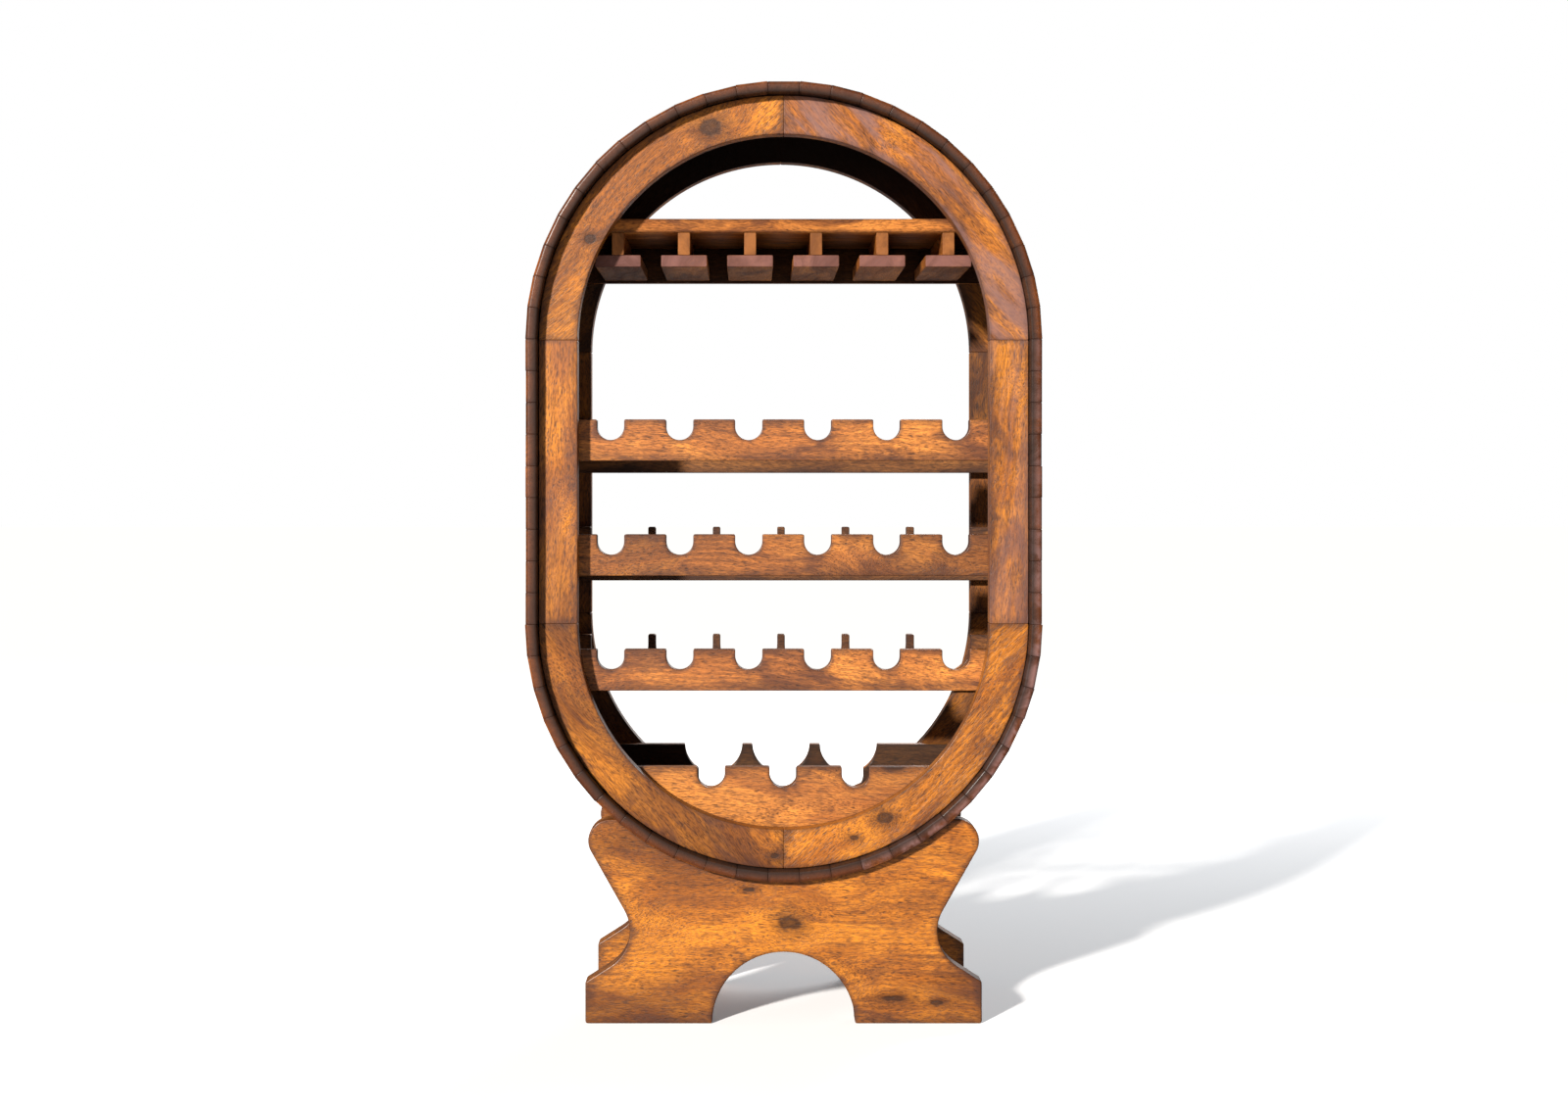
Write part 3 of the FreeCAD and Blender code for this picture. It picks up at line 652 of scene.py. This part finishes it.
ring_wood = wood("ring_wood", HONEY, AMBER, UMBER, knots=RING_KNOTS)
rail_wood = wood("rail_wood", linear(204, 128, 54), linear(160, 94, 40), linear(62, 30, 14))
cradle_wood = wood("cradle_wood", HONEY, AMBER, UMBER, stain=0.35, knots=CRADLE_KNOTS)
barrel_wood = wood("barrel_wood", linear(146, 82, 34), linear(100, 54, 24), linear(42, 21, 11),
                   tone_range=0.8, gloss=0.28, specular=0.2, end_colour=linear(72, 34, 13))
GLASS_RACK_COLOURS = (linear(196, 122, 54), linear(150, 88, 38), linear(60, 30, 14))
# the flanges' end grain is purple-grey: darker end grain greyed by a painted sky reflection; the webs' end
# grain stays golden
glass_wood = wood("glass_rack_wood", *GLASS_RACK_COLOURS, specular=0.08, end_colour=linear(124, 86, 82))
web_wood = wood("glass_rack_web_wood", *GLASS_RACK_COLOURS, specular=0.08, end_colour=linear(150, 94, 50))


# ---------------------------------------------------------------- barrel


def stave_profile():
    """A stave cut across the barrel wall, as (radius, depth): rounded outside, bevelled inside."""
    outer = 5 * MM
    inner = 3 * MM
    points = arc((BARREL - outer, LIP - outer), outer, 0, 90, 5)
    points += arc((INSIDE + inner, LIP - inner), inner, 90, 180, 3)
    points += arc((INSIDE + inner, inner - LIP), inner, 180, 270, 3)
    points += arc((BARREL - outer, outer - LIP), outer, 270, 360, 5)
    return points


def loosened(profile):
    """The profile of one stave, a little thicker, thinner or longer than its neighbours."""
    out = draw.uniform(-0.5, 0.3) * MM
    front = draw.uniform(-0.7, 0.5) * MM
    back = draw.uniform(-0.5, 0.7) * MM
    shifted = []
    for radius, depth in profile:
        outward = out if radius > (BARREL + INSIDE) / 2 else 0
        shifted.append(Vector((radius + outward, depth + (front if depth < 0 else back))))
    return shifted


def painted_inside_shade(point, level):
    """Painted shade: the inside of the staves is made nearly black, with the bevels beside it."""
    return 0.8 if point.x < INSIDE + 4 * MM else 0.0


# painted reflection of the sky: a greyish sheen on the lip, strongest at the lower right
LIP_PAINTED_SHEEN = {"bottom_staves_4": 0.7, "bottom_staves_5": 0.8,
            "right_staves_1": 0.6, "right_staves_2": 0.4, "right_staves_3": 0.3}


def curved_staves(name, end, run):
    """Five staves of a round part, each flat on the outside."""
    stave = Wood()
    step = math.pi / STAVES_PER_ARC
    way = -1 if end == "top" else 1
    for one in range(STAVES_PER_RUN):
        angle = math.pi + way * step * (run * STAVES_PER_RUN + one + 0.5)
        outward = Vector((math.cos(angle), 0, math.sin(angle)))
        sideways = Vector((-math.sin(angle), 0, math.cos(angle)))
        centre = Vector((0, 0, CENTRES[end]))

        def place(radius, depth, across, outward=outward, sideways=sideways, centre=centre):
            reach = across * radius / BARREL
            return centre + outward * radius + sideways * reach + Y * depth

        width = 2 * BARREL * math.tan(step / 2)
        stave.solid(loosened(stave_profile()), -width / 2, width / 2, BARREL_EASE, place, grain_in_stave, Y,
                    LIP_PAINTED_SHEEN.get(name, 0), painted_inside_shade)
    stave.finish(name, barrel_wood, name)


def straight_staves(name, side, run):
    """Three staves of a straight side."""
    stave = Wood()
    width = (UPPER - LOWER) / STAVES_PER_SIDE
    for one in range(SIDE_RUN):
        foot = LOWER + (run * SIDE_RUN + one) * width

        def place(radius, depth, across, foot=foot):
            return Vector((side * radius, depth, foot + across))

        stave.solid(loosened(stave_profile()), 0, width, BARREL_EASE, place, grain_in_stave, Y,
                    LIP_PAINTED_SHEEN.get(name, 0), painted_inside_shade)
    stave.finish(name, barrel_wood, name)


for end in ("top", "bottom"):
    for run in range(STAVES_PER_ARC // STAVES_PER_RUN):
        curved_staves(f"{end}_staves_{run + 1}", end, run)
for side_name, side in (("left", -1), ("right", 1)):
    for run in range(STAVES_PER_SIDE // SIDE_RUN):
        straight_staves(f"{side_name}_staves_{run + 1}", side, run)

# the rings end just inside the staves; each quarter has its centre's height and first angle
RING_GAP = 0.7 * MM
QUARTERS = {"upper_right": (UPPER, 0), "upper_left": (UPPER, 90),
            "lower_left": (LOWER, 180), "lower_right": (LOWER, 270)}

# painted shade on the ring faces towards the inside; the table below has it at an arc's foot and its top,
# darkest at the top of the rear ring, in the front ring's shadow
INNER_PAINTED_SHADE = 0.4
RING_PAINTED_SHADE = {"rear_ring_upper_left": (0.7, 1.0), "rear_ring_upper_right": (0.1, 1.0)}
# painted reflection of the sky: a greyish sheen on the front ring
RING_PAINTED_SHEEN = {"front_ring_upper_right": 0.7, "front_ring_right_stile": 0.4, "front_ring_left_stile": 0.15}
inner_face = {"front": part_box("front_ring_left_stile")[1][1], "rear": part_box("rear_ring_left_stile")[0][1]}

for end in ("front", "rear"):
    for place_name, (centre, start) in QUARTERS.items():
        name = f"{end}_ring_{place_name}"
        low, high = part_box(name)
        outline = arc((0, centre), INSIDE - RING_GAP, start, start + 90, 48)
        outline += arc((0, centre), RING_INNER, start + 90, start, 48)
        lean = math.radians(start + 135)
        # the painted shade at the foot and at the top of the arc
        stain = RING_PAINTED_SHADE.get(name, (INNER_PAINTED_SHADE, INNER_PAINTED_SHADE))
        front_board(name, outline, low[1], high[1], BARREL_EASE, (math.cos(lean), math.sin(lean)), ring_wood,
                    RING_PAINTED_SHEEN.get(name, 0), painted_shade_at(inner_face[end], *stain))
    for side_name, side in (("left", -1), ("right", 1)):
        name = f"{end}_ring_{side_name}_stile"
        low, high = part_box(name)
        outer = INSIDE - RING_GAP
        outline = [Vector((side * RING_INNER, LOWER)), Vector((side * outer, LOWER)),
                   Vector((side * outer, UPPER)), Vector((side * RING_INNER, UPPER))]
        front_board(name, outline, low[1], high[1], BARREL_EASE, (0, 1), ring_wood,
                    RING_PAINTED_SHEEN.get(name, 0), painted_shade_at(inner_face[end], INNER_PAINTED_SHADE))


# ---------------------------------------------------------------- rails and boards


def notch_row(count, spacing, radius, depth, throat=None):
    """Equal notches in a row about the middle of a board."""
    return [((number - (count - 1) / 2) * spacing, radius, depth, throat) for number in range(count)]


NECKS = notch_row(6, BOTTLE_SPACING, NECK_RADIUS, NECK_DEPTH)
BODIES = notch_row(6, BOTTLE_SPACING, BODY_RADIUS, BODY_DEPTH)
BOTTOM_NECKS = notch_row(3, BOTTOM_SPACING, NECK_RADIUS, NECK_DEPTH)
BOTTOM_BODIES = notch_row(3, BOTTOM_SPACING, BODY_RADIUS, BODY_RADIUS, (THROAT_RADIUS, THROAT_DEPTH))

NOTCHED = {f"front_rail_{shelf}": NECKS for shelf in ("upper", "middle", "lower")}
NOTCHED.update({f"rear_rail_{shelf}": BODIES for shelf in ("upper", "middle", "lower")})
NOTCHED.update({"bottom_front_board": BOTTOM_NECKS, "bottom_rear_board": BOTTOM_BODIES})

# painted shade on the faces towards the inside, where the rails and boards shade each other
RAIL_PAINTED_SHADE = 0.6
BOTTOM_PAINTED_SHADE = {"bottom_rear_board": 0.9}
RACK_BACK_PAINTED_SHADE = 0.8

for name, notches in NOTCHED.items():
    low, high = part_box(name)
    inward = high[1] if low[1] < 0 else low[1]
    front_board(name, board_outline(low[2], high[2], notches), low[1], high[1], RAIL_EASE, (1, 0), rail_wood,
                painted_shading=painted_shade_at(inward, BOTTOM_PAINTED_SHADE.get(name, RAIL_PAINTED_SHADE)))

rack_back_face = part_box("glass_rack_back")[0][1]
for name in ("glass_rack_board", "glass_rack_back"):
    low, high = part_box(name)
    front_board(name, board_outline(low[2], high[2]), low[1], high[1], RAIL_EASE, (1, 0), glass_wood,
                painted_shading=painted_shade_at(rack_back_face, RACK_BACK_PAINTED_SHADE))

for number in range(1, 7):
    for kind, material in (("web", web_wood), ("flange", glass_wood)):
        name = f"glass_rack_{kind}_{number}"
        low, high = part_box(name)
        deep_board(name, rectangle(low, high), low[1], high[1], DEEP_EASE, material)

for name in ("front_cradle_board", "rear_cradle_board"):
    low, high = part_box(name)
    front_board(name, cradle_outline(), low[1], high[1], CRADLE_EASE, (1, 0), cradle_wood)

for name in ("left_stretcher", "right_stretcher"):
    low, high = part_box(name)
    steps = 6
    middles = [low[0] + (high[0] - low[0]) * step / steps for step in range(steps + 1)]
    top = [Vector((x, LOWER - math.sqrt(BARREL ** 2 - x ** 2))) for x in reversed(middles)]
    outline = [Vector((low[0], low[2])), Vector((high[0], low[2]))] + top
    deep_board(name, outline, low[1], high[1], DEEP_EASE, cradle_wood)


# ---------------------------------------------------------------- fasteners


def plain_node(name, material):
    """Give a CAD node, kept as it is, its material."""
    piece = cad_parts[name]
    piece.data.materials.clear()
    piece.data.materials.append(material)


def steel():
    """Zinc plated steel, brushed and slightly yellow."""
    n = Nodes("screw_steel")
    place = n.add("ShaderNodeTexCoord").outputs["Object"]
    scratches = n.noise(place, (900.0, 900.0, 140.0), 3.0)
    n.put(n.shader.inputs["Base Color"], n.mix(scratches, linear(178, 170, 150), linear(214, 208, 190)))
    n.put(n.shader.inputs["Roughness"], n.math("ADD", n.math("MULTIPLY", scratches, 0.25), 0.2))
    n.shader.inputs["Metallic"].default_value = 1.0
    return n.material


def beech():
    """Plain beech for the dowels, with short flecks."""
    n = Nodes("dowel_wood")
    place = n.add("ShaderNodeTexCoord").outputs["Object"]
    fleck = n.noise(place, (420.0, 420.0, 420.0), 3.0)
    n.put(n.shader.inputs["Base Color"], n.mix(n.ramp(fleck, 0.4, 0.7), linear(214, 176, 130),
                                               linear(180, 138, 96)))
    n.put(n.shader.inputs["Roughness"], n.math("ADD", n.math("MULTIPLY", fleck, 0.2), 0.5))
    return n.material


screw_steel = steel()
dowel_wood = beech()
for name in ("rail_screws", "glass_rack_screws", "barrel_screws"):
    plain_node(name, screw_steel)
for name in ("ring_dowels", "base_dowels"):
    plain_node(name, dowel_wood)


# ---------------------------------------------------------------- studio


def floor():
    """A wide pale floor with a faint mottle, glowing a little so that its shadow stays pale."""
    size = 40
    mesh = bpy.data.meshes.new("floor")
    mesh.from_pydata([(-size, -size, 0), (size, -size, 0), (size, size, 0), (-size, size, 0)], [],
                     [(0, 1, 2, 3)])
    n = Nodes("floor")
    place = n.add("ShaderNodeTexCoord").outputs["Object"]
    mottle = n.noise(place, (3.0, 3.0, 3.0), 3.0)
    n.put(n.shader.inputs["Base Color"], n.mix(mottle, (0.95, 0.96, 0.98, 1), (0.98, 0.98, 0.99, 1)))
    n.shader.inputs["Roughness"].default_value = 0.9
    n.shader.inputs["Emission Color"].default_value = (0.9, 0.96, 1.0, 1)
    n.shader.inputs["Emission Strength"].default_value = 0.14
    mesh.materials.append(n.material)
    item = bpy.data.objects.new("floor", mesh)
    item.visible_glossy = False
    bpy.context.collection.objects.link(item)
    item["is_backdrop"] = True


def area_light(name, place, target, size, power, colour):
    """A round soft light that faces a target."""
    light = bpy.data.lights.new(name, "AREA")
    light.shape = "DISK"
    light.size = size
    light.energy = power
    light.color = colour
    item = bpy.data.objects.new(name, light)
    item.location = place
    item.rotation_euler = (Vector(target) - Vector(place)).to_track_quat("-Z", "Y").to_euler()
    bpy.context.collection.objects.link(item)


def sun(name, direction, strength, colour):
    """A distant light with soft-edged shadows."""
    light = bpy.data.lights.new(name, "SUN")
    light.energy = strength
    light.color = colour
    light.angle = math.radians(4)
    item = bpy.data.objects.new(name, light)
    item.rotation_euler = Vector(direction).to_track_quat("-Z", "Y").to_euler()
    bpy.context.collection.objects.link(item)


def sky(light, seen, colour):
    """A white surround: bright where it is seen, softer where it lights the rack."""
    world = bpy.data.worlds.new("studio")
    bpy.context.scene.world = world
    world.use_nodes = True
    nodes = world.node_tree.nodes
    links = world.node_tree.links
    nodes["Background"].inputs["Color"].default_value = (*colour, 1)
    nodes["Background"].inputs["Strength"].default_value = light
    backdrop = nodes.new("ShaderNodeBackground")
    backdrop.inputs["Color"].default_value = (1, 1, 1, 1)
    backdrop.inputs["Strength"].default_value = seen
    path = nodes.new("ShaderNodeLightPath")
    mix = nodes.new("ShaderNodeMixShader")
    links.new(path.outputs["Is Camera Ray"], mix.inputs[0])
    links.new(nodes["Background"].outputs[0], mix.inputs[1])
    links.new(backdrop.outputs[0], mix.inputs[2])
    links.new(mix.outputs[0], nodes["World Output"].inputs[0])


def camera():
    """Level camera in front of the rack, a little left of its middle."""
    lens = bpy.data.cameras.new("camera")
    lens.lens = 53.5
    lens.sensor_width = 36
    lens.shift_x = 0.0219
    lens.shift_y = -0.0409
    item = bpy.data.objects.new("camera", lens)
    item.location = (-0.044, -3.165, 0.692)
    item.rotation_euler = (math.radians(90), 0, 0)
    bpy.context.collection.objects.link(item)
    bpy.context.scene.camera = item


floor()
sky(light=0.15, seen=1.0, colour=(0.93, 0.96, 1.0))
sun("key", (0.55, 1.0, -0.4), 8.0, (1.0, 0.95, 0.88))
area_light("back", (1.4, 3.6, 2.4), (0, 0, 0.6), 2.5, 110, (1.0, 1.0, 1.0))
camera()
bpy.context.scene.view_settings.view_transform = "Standard"

[[list(map(float, corner)) for corner in box] for box in (cad_bounds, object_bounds())]
